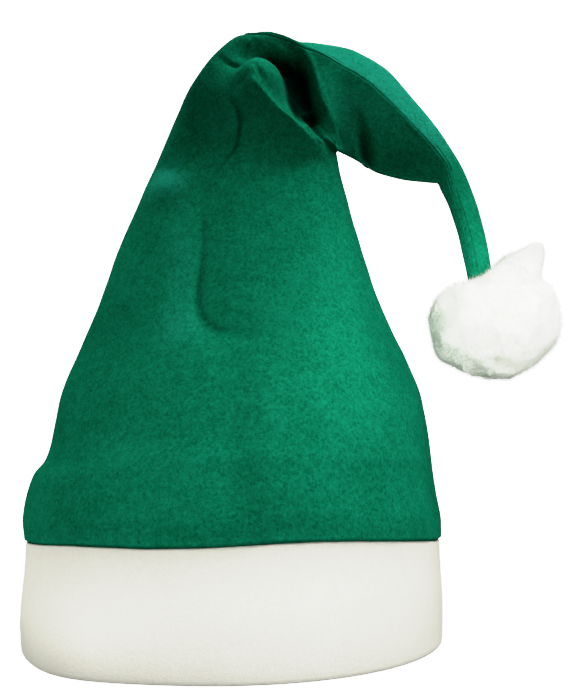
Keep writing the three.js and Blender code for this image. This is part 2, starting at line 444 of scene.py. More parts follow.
class Nodes:
    """The shader nodes of one material or of the world."""

    OBJECT_PLACE = 3  # output of a Texture Coordinate node
    FACTOR = 2  # output of an Attribute node
    MIX_SHARE, MIX_FIRST, MIX_SECOND = 0, 6, 7  # inputs of a Mix node for colours
    MIX_RESULT = 2  # its output

    def __init__(self, tree: bpy.types.NodeTree) -> None:
        """Starts with an empty tree."""
        self.tree = tree
        tree.nodes.clear()

    def add(
        self,
        kind: str,
        settings: dict[str, object] | None = None,
        inputs: dict[str | int, object] | None = None,
    ) -> list[Value]:
        """Adds a node.

        Args:
            kind: The node's type.
            settings: Properties that are set first.
            inputs: The value or link of each socket, by name or number.

        Returns:
            The node's outputs.
        """
        node = self.tree.nodes.new(kind)
        for name, value in (settings or {}).items():
            setattr(node, name, value)
        for name, value in (inputs or {}).items():
            if isinstance(value, Value):
                self.tree.links.new(value.socket, node.inputs[name])
            else:
                node.inputs[name].default_value = value
        return [Value(self, socket) for socket in node.outputs]

    def speckle(self, *layers: Speckle) -> Value:
        """Adds up random spots that follow the piece.

        Args:
            layers: The layers of spots.

        Returns:
            A value round 0 at each place.
        """
        where = self.add("ShaderNodeTexCoord")[self.OBJECT_PLACE]
        total = 0.0
        for spots in layers:
            scale = 1 / (spots.size * MM)
            inputs = {"Vector": where, "Scale": scale, "Detail": spots.detail, "Distortion": spots.twist}
            total = total + spots.weight * (self.add("ShaderNodeTexNoise", None, inputs)[0] - 0.5)
        return total

    def mix(self, share: Value, first: Value | Colour, second: Value | Colour) -> Value:
        """Mixes two colours by the share of the second one, which is held between 0 and 1."""
        inputs = {self.MIX_SHARE: share, self.MIX_FIRST: first, self.MIX_SECOND: second}
        return self.add("ShaderNodeMix", {"data_type": "RGBA"}, inputs)[self.MIX_RESULT]

    def stored(self, name: str) -> Value:
        """Reads a number that a mesh stores at its vertices, by the attribute's name."""
        return self.add("ShaderNodeAttribute", {"attribute_name": name})[self.FACTOR]

    def cover(self, looks: dict[str, object], relief: Value, depth: float, strength: float) -> None:
        """Ends a material with a surface that has fine relief.

        Args:
            looks: The surface's inputs, by name.
            relief: How high the relief is at each place.
            depth: How far down it goes, in millimetres.
            strength: How much of it shows, from 0 to 1.
        """
        bump = {"Height": relief, "Strength": strength, "Distance": depth * MM}
        normal = self.add("ShaderNodeBump", None, bump)[0]
        surface = self.add("ShaderNodeBsdfPrincipled", None, {**looks, "Normal": normal})[0]
        self.add("ShaderNodeOutputMaterial", None, {"Surface": surface})


def new_material(name: str) -> tuple[bpy.types.Material, Nodes]:
    """Starts a material.

    Args:
        name: Its name.

    Returns:
        The material, and its nodes, which are still to be added.
    """
    material = bpy.data.materials.new(name)
    material.use_nodes = True
    return material, Nodes(material.node_tree)


@dataclass(frozen=True)
class FeltFinish:
    """Needled felt: a matte nap with flecks, clouds and short strands, with painted shade and painted
    highlight where its mesh marks them.
    """

    slot: Slot
    dark: Colour
    light: Colour
    fleck: float  # contrast of the small flecks
    cloud: float  # contrast of the larger clouds
    sheen: float
    sheen_tint: Colour
    deep: Colour  # painted shade, in the fold's hollow, along creases and in patches
    brushed: Colour  # painted highlight, on the strip over the tail's seam and in patches
    nap: float = 0.35  # depth of the strands, in millimetres
    halfway: float = 0.5  # between dark and light
    flecks: tuple[Speckle, ...] = (Speckle(1.3, 1, 0.6), Speckle(0.7, 1, 1.0, weight=0.7))
    clouds: tuple[Speckle, ...] = (Speckle(4.5, 2, 0.5), Speckle(24.0))
    strands: tuple[Speckle, ...] = (Speckle(0.7, 3, 2.5), Speckle(1.6, 2, 1.0, weight=0.8))

    def material(self) -> bpy.types.Material:
        """Makes the felt's material.

        Returns:
            The material.
        """
        material, nodes = new_material(self.slot.value)
        flecks = self.fleck * nodes.speckle(*self.flecks)
        share = flecks + self.cloud * nodes.speckle(*self.clouds) + self.halfway
        # Painted shade darkens the felt where the stored attribute is above 0.
        painted_level = nodes.stored(PAINTED_LIGHT_ATTRIBUTE)
        highlight_share = (0.0 - painted_level) * (share + self.halfway)  # painted highlight where the attribute is below 0, keeping the flecks
        colour = nodes.mix(painted_level, nodes.mix(share, self.dark, self.light), self.deep)
        colour = nodes.mix(highlight_share, colour, self.brushed)
        looks = {
            "Base Color": colour,
            "Roughness": 0.95,
            "Specular IOR Level": 0.0,
            "Sheen Weight": self.sheen,
            "Sheen Roughness": 0.5,
            "Sheen Tint": self.sheen_tint,
        }
        nodes.cover(looks, nodes.speckle(*self.strands), depth=self.nap, strength=0.6)
        return material


@dataclass(frozen=True)
class FluffFinish:
    """Loose white fibre that light soaks into, with painted shade on its tuft."""

    slot: Slot
    shade: Colour
    light: Colour
    sparse: Colour  # painted shade on the tuft
    soak: float = 12.0  # how far light soaks in, in millimetres
    soaking: float = 0.9  # share of the light that soaks in
    balance: float = 0.6  # share of the light colour
    hair: float = 0.5  # depth of the fine hair, in millimetres
    clouds: tuple[Speckle, ...] = (Speckle(6.0, weight=0.9), Speckle(1.5, weight=0.9))
    hairs: tuple[Speckle, ...] = (Speckle(0.8, 3, 1.5),)

    def material(self) -> bpy.types.Material:
        """Makes the fluff's material.

        Returns:
            The material.
        """
        material, nodes = new_material(self.slot.value)
        share = nodes.speckle(*self.clouds) + self.balance
        # Painted shade on the tuft, where the stored attribute marks it.
        tuft_shade_share = nodes.stored(PAINTED_LIGHT_ATTRIBUTE)
        colour = nodes.mix(tuft_shade_share, nodes.mix(share, self.shade, self.light), self.sparse)
        looks = {
            "Base Color": colour,
            "Roughness": 1.0,
            "Specular IOR Level": 0.0,
            "Subsurface Weight": self.soaking,
            "Subsurface Radius": (1.0, 1.0, 1.0),
            "Subsurface Scale": self.soak * MM,
        }
        nodes.cover(looks, nodes.speckle(*self.hairs), depth=self.hair, strength=0.5)
        return material


GREEN = FeltFinish(
    slot=Slot.GREEN_FELT,
    dark=(0.001, 0.08, 0.036, 1.0),
    light=(0.004, 0.19, 0.098, 1.0),
    fleck=1.5,
    cloud=0.6,
    sheen=0.04,
    sheen_tint=(0.03, 0.9, 0.6, 1.0),
    # The last two colours are painted shade and painted highlight.
    deep=(0.0, 0.006, 0.003, 1.0),
    brushed=(0.011, 0.27, 0.18, 1.0),
)
WHITE = FeltFinish(
    slot=Slot.WHITE_FELT,
    dark=(0.7, 0.69, 0.61, 1.0),
    light=(0.84, 0.835, 0.76, 1.0),
    fleck=0.5,
    cloud=0.3,
    sheen=0.05,
    sheen_tint=(1.0, 1.0, 0.97, 1.0),
    # The last two colours are painted shade and painted highlight.
    deep=(0.4, 0.4, 0.37, 1.0),
    brushed=(0.9, 0.9, 0.85, 1.0),
)
FLUFF = FluffFinish(
    slot=Slot.WHITE_FLUFF,
    shade=(0.68, 0.71, 0.63, 1.0),
    light=(0.82, 0.84, 0.76, 1.0),
    # The last colour is painted shade on the tuft.
    sparse=(0.4, 0.41, 0.38, 1.0),
)


def dress(piece: bpy.types.Object, finish: FeltFinish | FluffFinish) -> None:
    """Gives a piece its finish and lets it ride on the hat.

    Args:
        piece: The piece.
        finish: Its finish.
    """
    piece.data.materials.clear()
    piece.data.materials.append(finish.material())
    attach(piece, "root")


CROWN_SECTIONS = (
    Section(-92.5, 44.2, 92.5, 44.2, 0.0, 92.2, 91.8, 0.0, 0.0, 0, 1),  # on the band's top edge
    Section(-92.7, 44.4, 92.7, 44.4, 0.0, 92.4, 92.0, 0.0, 0.0, 0, 1),
    Section(-92.8, 44.6, 92.8, 44.6, 0.0, 92.5, 92.0, 0.0, 0.0, 0, 3),
    Section(-93.1, 46.8, 92.8, 46.8, 0.0, 92.2, 92.0, 0.0, 0.0, 0, 3),
    Section(-93.6, 52.0, 92.7, 52.0, 0.0, 91.9, 91.8, 0.0, 0.0, 0, 5),
    Section(-92.0, 63.5, 90.7, 63.5, 0.0, 88.0, 88.0, 0.0, 0.0, 0, 4),
    Section(-89.8, 71.5, 89.8, 71.5, 0.0, 84.5, 84.5, 0.0, 0.0, 0, 4),  # shoulder on the left
    Section(-85.2, 78.0, 89.3, 78.0, 0.0, 82.0, 82.0, 0.0, 0.0, 0, 3),
    Section(-83.3, 85.0, 88.7, 85.0, 0.0, 77.5, 79.0, 0.0, 0.0, 0, 8),
    Section(-79.8, 105.5, 85.4, 105.5, 0.0, 66.5, 70.5, 0.0, 0.0, 0, 8),  # hip on the right
    Section(-72.6, 125.5, 77.3, 125.5, 0.0, 55.5, 61.5, 0.0, 0.0, 0, 9),
    Section(-64.3, 147.5, 67.8, 147.5, 0.0, 45.5, 51.5, 0.0, 0.0, 0, 12),
    Section(-55.0, 176.0, 58.4, 176.0, 0.0, 35.0, 38.5, 0.0, 0.0, 0, 12),
    Section(-43.5, 205.0, 50.4, 205.0, 0.0, 27.0, 27.0, 0.15, 0.0, 0, 9),
    Section(-34.0, 223.4, 46.4, 221.6, -4.0, 25.5, 20.0, 0.5, 0.05, 0, 10),  # the bend starts
    Section(-22.2, 244.0, 46.0, 221.8, -8.5, 25.5, 18.0, 0.84, 0.1, 0, 14),
    Section(-9.3, 258.0, 46.1, 222.0, -11.5, 24.0, 17.0, 0.95, 0.15, 3, 12),
    Section(0.9, 267.0, 46.4, 222.0, -10.5, 21.5, 16.0, 0.97, 0.2, 7, 9),
    Section(6.0, 269.6, 46.9, 222.0, -9.5, 19.0, 15.5, 0.97, 0.3, 16, 8),
    Section(12.9, 273.2, 47.3, 222.0, -8.5, 16.5, 15.0, 0.94, 0.3, 28, 8),
    Section(20.4, 276.1, 48.2, 221.9, -7.0, 14.5, 14.5, 0.82, 0.4, 41, 7),
    Section(29.0, 274.6, 49.5, 221.7, -5.5, 12.8, 14.2, 0.77, 0.45, 45, 5),  # the top strip starts
    Section(33.5, 275.2, 50.2, 221.6, -4.4, 12.0, 14.0, 0.7, 0.5, 49, 8),
    Section(51.0, 273.4, 54.0, 219.9, -3.0, 12.0, 12.5, 0.43, 0.5, 65, 6),  # root of the tail
    Section(61.0, 269.3, 59.4, 216.6, -3.1, 11.8, 11.8, 0.36, 0.5, 69, 5),
    Section(69.7, 263.4, 65.6, 212.8, -3.2, 11.5, 11.0, 0.29, 0.5, 73, 8),
    Section(84.0, 246.9, 78.4, 208.9, -4.0, 10.0, 9.5, 0.2, 0.5, 78, 8),
    Section(94.8, 232.0, 90.4, 207.3, -4.8, 8.6, 8.2, 0.0, 0.4, 91, 6),
    Section(100.6, 222.0, 93.9, 206.6, -6.0, 7.2, 7.2, -0.15, 0.4, 99, 5),  # elbow of the tail
    Section(106.4, 210.1, 95.1, 203.0, -7.2, 6.4, 6.4, -0.35, 0.45, 110, 5),
    Section(111.7, 195.5, 98.0, 195.5, -8.4, 6.2, 6.2, -0.5, 0.5, 120, 5),
    Section(115.1, 181.1, 102.2, 180.6, -9.6, 6.0, 6.0, -0.5, 0.5, 120, 4),
    Section(117.1, 168.2, 104.9, 165.9, -10.8, 5.8, 5.8, -0.5, 0.5, 120, 4),  # into the pompom
    Section(119.0, 155.1, 106.7, 154.1, -12.0, 5.6, 5.6, -0.5, 0.5, 120, 2),
    Section(117.4, 150.6, 109.0, 150.0, -12.4, 3.6, 3.6, -0.5, 0.5, 120, 1),  # tip
)

LONG_CREASE = Crease(
    (
        (-3.2, 239.5, 0.0), (-0.7, 236.0, 1.0), (1.8, 231.8, 1.5), (2.5, 227.6, 1.6),
        (1.8, 222.6, 1.6), (0.9, 218.5, 1.6), (-1.1, 214.2, 1.4), (-3.5, 211.6, 1.2),
        (-7.2, 206.8, 0.9), (-11.8, 198.4, 0.4), (-13.0, 192.0, 0.0),
    ),
    left=2.0,
    right=5.0,
    profile=Profile.KEEN,
    shade=0.7,
    shade_width=1.0,
)
CORNER_CREASE = Crease(
    (
        (-11.8, 198.8, 0.0), (-13.2, 189.3, 1.2), (-12.7, 174.7, 2.4), (-12.9, 161.7, 3.0),
        (-13.8, 151.0, 3.4), (-13.4, 143.4, 3.8), (-10.4, 136.5, 3.8), (-5.4, 132.7, 3.2),
        (3.0, 131.4, 2.4), (13.0, 131.0, 1.5), (25.0, 131.2, 0.0),
    ),
    left=24.0,
    right=15.0,
    profile=Profile.KEEN,
    shade=0.72,
    shade_width=1.6,
)
FRONT_RIDGE = Crease(
    (
        (21.0, 130.0, 0.0), (19.5, 112.0, -2.5), (18.5, 95.0, -4.5), (18.0, 75.0, -4.5),
        (18.0, 60.0, -2.0), (18.0, 50.0, 0.0),
    ),
    left=44.0,
    right=17.0,
)
CREST = Crease(
    (
        (6.4, 246.0, 0.0), (8.5, 243.5, -3.0), (10.8, 241.3, -4.5), (13.8, 238.4, -5.0),
        (17.2, 235.3, -5.0), (20.6, 232.2, -5.0), (25.0, 229.4, -5.0), (28.4, 227.3, -5.0),
        (31.8, 224.8, -4.5), (34.8, 222.8, -3.6), (38.3, 220.2, -2.4), (41.5, 217.5, -1.0),
        (43.5, 215.5, 0.0),
    ),
    left=5.0,
    right=26.0,
    profile=Profile.KEEN,
)
BEHIND_THE_CREST = Crease(
    (
        (30.6, 236.0, 0.0), (32.4, 233.4, 6.5), (34.4, 230.6, 8.5), (37.0, 227.6, 7.5),
        (40.0, 225.2, 6.0), (43.0, 222.8, 3.5), (45.5, 220.6, 1.5), (47.5, 218.6, 0.0),
    ),
    left=11.0,
    right=3.0,
    shade=0.45,
)
DIMPLE = Crease(
    ((9.3, 251.0, 1.0), (10.6, 248.2, 1.6), (11.8, 246.0, 1.2), (14.2, 243.2, 0.0)),
    left=2.5,
    right=1.6,
    shade=0.2,
)
UNDER_THE_TOP = Crease(
    (
        (-3.8, 241.5, 0.0), (-2.6, 246.0, 1.0), (-0.6, 250.5, 2.5), (1.9, 254.2, 4.5),
        (5.0, 257.2, 6.5), (8.5, 259.0, 8.0), (12.2, 259.4, 9.5), (16.1, 258.8, 10.5),
        (20.0, 257.4, 11.0),
    ),
    left=9.0,
    right=4.5,
    shade=0.35,
)
HOOD_EDGE = Crease(
    ((-8.5, 257.2, 0.0), (-6.0, 255.8, 1.0), (-2.5, 253.9, 2.2), (1.6, 253.0, 2.6), (5.0, 255.5, 1.5)),
    left=2.0,
    right=5.0,
    profile=Profile.KEEN,
    shade=0.45,
    shade_width=1.3,
)
HOLLOW = Crease(
    (
        (20.0, 262.0, 3.0), (24.6, 258.5, 9.0), (26.6, 253.5, 13.0), (28.0, 247.0, 13.0),
        (29.2, 240.8, 12.5), (31.6, 235.0, 9.0), (35.4, 229.8, 2.0),
    ),
    left=10.5,
    right=8.5,
    profile=Profile.TROUGH,
)
UNDER_THE_CREST = Crease(
    (
        (41.4, 216.0, 0.5), (37.0, 214.3, 1.6), (32.7, 212.0, 2.2), (28.6, 210.6, 2.2),
        (23.0, 207.8, 1.8), (18.0, 205.1, 1.2), (9.2, 200.6, 0.0),
    ),
    left=5.0,
    right=9.0,
    shade=0.15,
)
LEFT_FOLD = Crease(
    ((-41.0, 213.0, 0.8), (-36.0, 212.0, 1.2), (-28.0, 209.0, 1.2), (-19.0, 205.5, 0.0)),
    left=5.0,
    right=2.5,
    shade=0.3,
)
TAIL_VALLEY = Crease(
    ((55.0, 242.0, 0.0), (57.4, 233.0, 1.6), (59.4, 225.0, 3.4), (61.2, 216.0, 3.6)),
    left=4.0,
    right=5.0,
    shade=0.8,
    shade_width=2.6,
)
KNUCKLE = Swell(11.3, 248.6, 6.5, 7.5, 8.0)
TAIL_ROOT = Swell(41.5, 243.0, 4.5, 5.5, 16.0)
LEFT_BUMP = Swell(-33.0, 200.0, 4.0, 11.0, 8.0)
# Patches of painted shade on the front view.
SHADE_PATCHES = (
    Swell(-12.0, 233.0, 0.46, 15.0, 17.0),  # under the hood
    Swell(78.0, 213.0, 0.42, 17.0, 10.0),  # foot of the tail
    Swell(28.0, 215.0, 0.14, 14.0, 7.0),  # under the crest
    Swell(10.0, 176.0, 0.12, 30.0, 32.0),  # front
    Swell(67.0, 140.0, 0.4, 14.0, 30.0),  # right side
    Swell(20.0, 244.0, 0.28, 5.0, 9.0),  # right of the knuckle
    Swell(74.0, 114.0, 0.2, 8.0, 11.0),  # over the hip
    Swell(36.0, 168.0, 0.11, 14.0, 26.0),  # right of the middle
    Swell(-48.0, 140.0, 0.2, 16.0, 20.0),  # left side
)
# Patches of painted highlight on the front view.
HIGHLIGHT_PATCHES = (
    Swell(-32.0, 205.0, 0.7, 10.0, 8.0),  # upper left
    Swell(-22.0, 162.0, 0.2, 8.0, 26.0),  # left of the corner crease
    Swell(-22.0, 135.0, 0.22, 12.0, 8.0),  # below its corner
    Swell(9.0, 257.0, 0.3, 12.0, 6.0),  # hood
    Swell(58.0, 238.0, 0.16, 18.0, 14.0),  # tail
)


@dataclass
class Crown:
    """The cone of green felt, sewn along one side, that folds over into the tail."""

    rim: Rim = Rim()
    felt: float = 1.6
    tucked_in: float = 2.8  # how far inside the rim its edge lies between the band's layers
    tuck: float = 11.7  # how far down it reaches there
    tuck_rows: int = 3
    tuck_step: float = 0.2  # from the band's top edge down to where the tuck starts
    lift_ends: float = 105.0  # up to here it follows the waves of the band's top edge
    waves: tuple[Triple, ...] = ((0.7, 34.0, 3.1), (0.3, 13.0, 8.2))  # of loose felt
    waves_grow: float = 12.0  # height over the band where the felt is as uneven as it gets
    round_columns: int = 200
    front_extra: float = 1.5  # how many more of them lie at the front
    front_blend: float = 0.25  # sine of the turn that their change takes, both ways
    fine_steps: int = 721  # steps for spreading them
    probe: float = 0.012  # half of what a slope is measured over
    seam_probe: float = 0.02  # radians that the felt beside the seam is measured over
    seam_turns: tuple[int, ...] = (90, 90, 90, 67, 45, 22, 0)  # degrees turned in, from the edge
    seam_depths: tuple[float, ...] = (1, 0.5, 0, 0, 0, 0, 0)  # shares of the allowance
    seam_round: float = 1.0  # rounding of the felt where it turns into the seam
    seam_allowance: float = 4.5
    seam_share: float = 0.3  # most of the half depth that the turned-in edges take
    seam_gap: float = -0.02  # the turned-in edges press into each other
    tuck_seam: Pair = (0.15, 0.1)  # rounding and allowance between the band's layers
    seam_frees: Pair = (-0.6, 1.0)  # sections from the first free one
    back_dip: float = 5.0  # depth of the soft dip at the back of the bend
    dip_starts: Pair = (17.5, 20.5)  # counted in sections, as the next three are
    dip_ends: Pair = (21.5, 24.8)
    strip_starts: Pair = (22.0, 25.0)
    strip_ends: Pair = (28.5, 31.0)
    dip_inner: Pair = (-1.0, -0.3)  # cosines of the turn between the inner end and the dip
    dip_outer: Pair = (0.2, 0.8)  # the same between the dip and the outer end
    strip_edge: Pair = (-0.5, 0.15)  # radians from the tail's top
    strip_brushed: float = 0.6  # how strong the painted highlight is on the strip over the tail's seam
    crease_edge: Pair = (0.05, 0.5)  # sines of the turn between the sides and the full creases
    dark_depth: Pair = (2.5, 11.5)  # depths where painted shade starts in a hollow, and is darkest
    flat_size: Pair = (590.0, 445.0)
    flat_share: float = 0.41  # the cut's share of that rectangle
    creases: tuple[Crease, ...] = (
        LONG_CREASE, CORNER_CREASE, FRONT_RIDGE, CREST, BEHIND_THE_CREST, DIMPLE,
        UNDER_THE_TOP, HOOD_EDGE, HOLLOW, UNDER_THE_CREST, LEFT_FOLD, TAIL_VALLEY,
    )
    swells: tuple[Swell, ...] = (KNUCKLE, TAIL_ROOT, LEFT_BUMP)
    dimmed: tuple[Swell, ...] = SHADE_PATCHES  # patches of painted shade
    brushed: tuple[Swell, ...] = HIGHLIGHT_PATCHES  # patches of painted highlight

    def __post_init__(self) -> None:
        """Puts the two rows that lie between the band's layers before the free ones."""
        first = CROWN_SECTIONS[0]
        half_width = self.rim.half_width - self.tucked_in
        half_depth = self.rim.half_depth - self.tucked_in
        hidden = [
            Section(
                -half_width, height, half_width, height, 0.0, half_depth, half_depth,
                first.ridge, first.flat, first.seam, self.tuck_rows,
            )
            for height in (self.rim.side - self.tuck, self.rim.side - self.tuck_step)
        ]
        self.sections = [*hidden, *CROWN_SECTIONS]
        self.free_row = len(hidden)
        self.table = np.array([astuple(s) for s in self.sections], float)
        self.names = [f.name for f in fields(Section)]

    def columns(self, place: np.ndarray) -> dict[str, np.ndarray]:
        """Reads the sections' sizes at places along the crown, each column by its name."""
        values = through_rows(self.table, place)
        return {name: values[..., i] for i, name in enumerate(self.names)}

    def surface(self, place: np.ndarray, turn: np.ndarray) -> np.ndarray:
        """Finds points on the felt's outside.

        Args:
            place: Places along the crown, counted in sections.
            turn: Angles round a section, from its outer end through the front.

        Returns:
            The points, in millimetres.
        """
        place, turn = np.broadcast_arrays(place, turn)
        along, is_front = np.cos(turn), np.sin(turn) > 0
        at = self.columns(place)
        share = (1 + along) / 2
        x = at["in_x"] + (at["out_x"] - at["in_x"]) * share
        z = at["in_z"] + (at["out_z"] - at["in_z"]) * share
        ridge = np.where(is_front, at["ridge"], 0)
        reach = (along - ridge) / np.where(along > ridge, 1 - ridge, -1 - ridge)
        flat = np.where(is_front, at["flat"], 0)
        full = (1 - flat) * np.sqrt(np.clip(1 - reach**2, 0, 1)) + flat * (1 - reach)
        dip = smoothstep(place, *self.dip_starts) * (1 - smoothstep(place, *self.dip_ends))
        dip = dip * (1 - smoothstep(along, *self.dip_outer)) * smoothstep(along, *self.dip_inner)
        front = at["mid_y"] - full * at["front"]
        back = at["mid_y"] + full * (at["back"] - self.back_dip * dip)
        level = 1 - smoothstep(z, self.rim.side, self.lift_ends)
        z = z + (self.rim.top(turn) - self.rim.side) * level
        return np.stack([x, np.where(is_front, front, back), z], axis=-1)

    def outward(self, place: np.ndarray, turn: np.ndarray) -> np.ndarray:
        """Finds the direction straight out of the felt.

        Args:
            place: Places along the crown.
            turn: Angles round a section.

        Returns:
            Unit directions.
        """
        last = len(self.sections) - 1
        low, high = np.maximum(place - self.probe, 0), np.minimum(place + self.probe, last)
        up = self.surface(high, turn) - self.surface(low, turn)
        ahead = self.surface(place, turn + self.probe) - self.surface(place, turn - self.probe)
        normal = np.cross(ahead, up)
        return normal / np.linalg.norm(normal, axis=-1, keepdims=True)

    def rows(self) -> np.ndarray:
        """Places of the rows of vertices, as a column."""
        spans = [i + np.arange(s.rows) / s.rows for i, s in enumerate(self.sections[:-1])]
        return np.concatenate([*spans, [len(self.sections) - 1]])[:, None]

    def spread(self, seam: float, margin: float) -> np.ndarray:
        """Spreads the plain columns of one row, closer together at the front.

        Args:
            seam: The turn at the seam.
            margin: How far the seam's own columns reach on both sides.

        Returns:
            Turns from the seam.
        """
        fine = np.linspace(margin, FULL_TURN - margin, self.fine_steps)
        at_front = smoothstep(np.sin(fine + seam), -self.front_blend, self.front_blend)
        weight = 1 + self.front_extra * at_front
        filled = np.concatenate([[0], np.cumsum((weight[1:] + weight[:-1]) / 2)])
        share = np.arange(1, self.round_columns + 1) / (self.round_columns + 1)
        return np.interp(share * filled[-1], filled, fine)

    def seam_columns(self, place: np.ndarray) -> tuple[np.ndarray, np.ndarray]:
        """Lays out the columns of vertices from one edge of the sheet to the other.

        Args:
            place: The rows' places, as a column.

        Returns:
            Each vertex's turn, and how far the seam sinks it into the hat.
        """
        at = self.columns(place)
        seam = np.radians(at["seam"])
        along = self.surface(place, seam + self.seam_probe) - self.surface(place, seam)
        speed = np.linalg.norm(along, axis=-1) / self.seam_probe
        free = smoothstep(place - self.free_row, *self.seam_frees)
        room = self.seam_share * np.minimum(at["front"], at["back"])
        tight, short = self.tuck_seam
        bend = tight + (np.minimum(self.seam_round, room) - tight) * free
        edge = np.minimum(self.seam_allowance, room) * free + short
        turned = np.radians(self.seam_turns)
        beside = (bend * (1 - np.sin(turned)) + self.seam_gap) / speed
        sunk = bend * (1 - np.cos(turned)) + edge * np.array(self.seam_depths)
        body = np.array([
            self.spread(float(s), float(b)) for s, b in zip(seam[:, 0], beside[:, -1])
        ])
        turn = np.hstack([beside, body, FULL_TURN - beside[:, ::-1]]) + seam
        return turn, np.hstack([sunk, np.zeros_like(body), sunk[:, ::-1]])

    def pressed(self, points: np.ndarray, turn: np.ndarray) -> tuple[np.ndarray, np.ndarray]:
        """Works out how far creases and swells move the front away from the viewer, and where shade and
        highlight are painted.

        Args:
            points: Points on the smooth outside.
            turn: Their angles round their sections.

        Returns:
            The move of each point along Y, and the painted shade there, with painted highlight below 0.
        """
        x, z = points[..., 0], points[..., 2]
        depths, shades = zip(*(crease.depth(x, z) for crease in self.creases))
        moved = sum(depths) - sum(swell.rise(x, z) for swell in self.swells)
        front = smoothstep(np.sin(turn), *self.crease_edge)
        # Painted shade in hollows by their depth, and along creases.
        shade = np.maximum(smoothstep(moved, *self.dark_depth), np.max(shades, axis=0))
        # Painted shade in patches.
        shade = np.maximum(shade, sum(shade_patch.rise(x, z) for shade_patch in self.dimmed))
        # Painted highlight in patches, below 0.
        shade = shade - (1 - shade) * sum(patch.rise(x, z) for patch in self.brushed)
        return moved * front, shade * front

    def strip(self, place: np.ndarray, turn: np.ndarray) -> np.ndarray:
        """Tells, from 0 to 1, which felt lies on the strip between the tail's seam and its top."""
        on_tail = smoothstep(place, *self.strip_starts) * (1 - smoothstep(place, *self.strip_ends))
        return on_tail * smoothstep(turn - FULL_TURN, *self.strip_edge)

    def build(self, frame: HatFrame) -> list[bpy.types.Object]:
        """Builds the crown.

        Args:
            frame: The hat's place in the part.

        Returns:
            The crown alone, with its finish.
        """
        place = self.rows()
        turn, sunk = self.seam_columns(place)
        points = self.surface(place, turn)
        tuft_shade_share = smoothstep(points[..., 2] - self.rim.side, 0, self.waves_grow)
        lift = uneven(points, self.waves) * tuft_shade_share - sunk
        moved, shade = self.pressed(points, turn)
        # Painted highlight on the strip over the tail's seam, which faces the light.
        shade = shade - self.strip_brushed * self.strip(place, turn)
        points = points + self.outward(place, turn) * lift[..., None]
        points[..., 1] += moved
        piece = felt_sheet("felt_crown", frame.place(points))
        mark_painted_light(piece, shade)
        thicken(piece, self.felt)
        dress(piece, GREEN)
        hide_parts("crown")
        return [piece]


